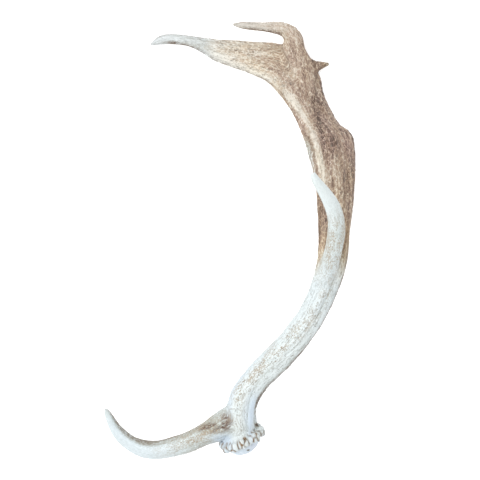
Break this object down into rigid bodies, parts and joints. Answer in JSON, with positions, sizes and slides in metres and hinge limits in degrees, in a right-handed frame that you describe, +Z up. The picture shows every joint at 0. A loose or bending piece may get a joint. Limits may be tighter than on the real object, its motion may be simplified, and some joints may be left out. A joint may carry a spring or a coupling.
{
  "type": "deer antler",
  "caption": "Shed palmated deer antler with burr, brow tine, tray tine and forked crown, for display or decoration, lying on its flat side.",
  "frame": {"origin": "under the middle of the antler's box, on the surface that it lies on", "axes": "+Y from the burr's end towards the crown, along the antler's longest extent; +Z up, the shortest extent; the antler lies with the brow tine and crown tines towards -X"},
  "size_m": [0.329, 0.5742, 0.1553],
  "materials": {
    "pale_bone": "bleached antler bone, pale with brown stain in its grooves, satin",
    "stained_bone": "brown-stained antler bone with fine cream streaks along the growth, matte",
    "crown_bone": "greyish antler bone, polished towards the tips, satin"
  },
  "bodies": {
    "root": {"beam": "pale_bone", "brow_tine": "pale_bone", "tray_tine": "pale_bone", "palm": "stained_bone", "front_tine": "crown_bone", "top_tine": "crown_bone"}
  },
  "joints": []
}
